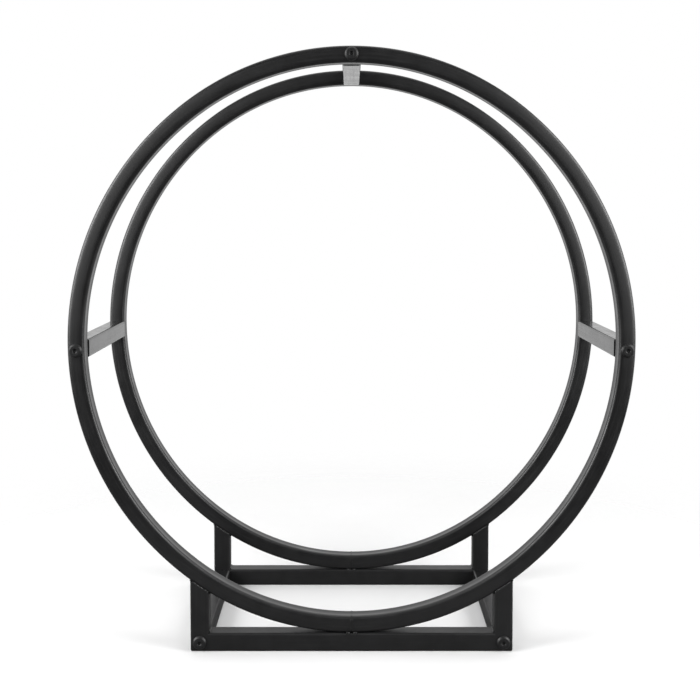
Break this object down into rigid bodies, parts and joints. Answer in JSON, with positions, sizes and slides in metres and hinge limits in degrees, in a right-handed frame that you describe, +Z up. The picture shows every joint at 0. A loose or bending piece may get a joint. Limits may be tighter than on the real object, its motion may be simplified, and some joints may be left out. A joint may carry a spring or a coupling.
{
  "type": "firewood log rack",
  "caption": "Freestanding log rack: round steel-tube rings front and rear on a low rectangular base, joined by bolted crossbars, open through the middle for logs.",
  "frame": {"origin": "on the ground, under the middle of the rack", "axes": "+Z up, -Y to the front where the first ring is, +X to the right as seen from the front"},
  "size_m": [0.6116, 0.2256, 0.6539],
  "materials": {
    "ring_coat": "satin black powder coat",
    "base_coat": "satin black powder coat",
    "crossbar_coat": "semi-gloss black powder coat",
    "weld_coat": "satin black powder coat over weld beads",
    "insert_steel": "matt black steel",
    "bolt_steel": "satin black steel"
  },
  "bodies": {
    "root": {"front_ring": "ring_coat", "rear_ring": "ring_coat", "front_rail": "base_coat", "rear_rail": "base_coat", "front_left_post": "base_coat", "front_right_post": "base_coat", "rear_left_post": "base_coat", "rear_right_post": "base_coat", "top_crossbar": "crossbar_coat", "left_crossbar": "crossbar_coat", "right_crossbar": "crossbar_coat", "base_left_crossbar": "crossbar_coat", "base_right_crossbar": "crossbar_coat", "front_top_insert": "insert_steel", "front_left_insert": "insert_steel", "front_right_insert": "insert_steel", "front_base_left_insert": "insert_steel", "front_base_right_insert": "insert_steel", "rear_top_insert": "insert_steel", "rear_left_insert": "insert_steel", "rear_right_insert": "insert_steel", "rear_base_left_insert": "insert_steel", "rear_base_right_insert": "insert_steel", "front_top_bolt": "bolt_steel", "front_left_bolt": "bolt_steel", "front_right_bolt": "bolt_steel", "front_base_left_bolt": "bolt_steel", "front_base_right_bolt": "bolt_steel", "rear_top_bolt": "bolt_steel", "rear_left_bolt": "bolt_steel", "rear_right_bolt": "bolt_steel", "rear_base_left_bolt": "bolt_steel", "rear_base_right_bolt": "bolt_steel", "front_ring_butt_weld": "weld_coat", "front_ring_rail_weld": "weld_coat", "front_left_post_weld": "weld_coat", "front_left_corner_weld": "weld_coat", "front_right_post_weld": "weld_coat", "front_right_corner_weld": "weld_coat", "rear_ring_butt_weld": "weld_coat", "rear_ring_rail_weld": "weld_coat", "rear_left_post_weld": "weld_coat", "rear_left_corner_weld": "weld_coat", "rear_right_post_weld": "weld_coat", "rear_right_corner_weld": "weld_coat"}
  },
  "joints": []
}
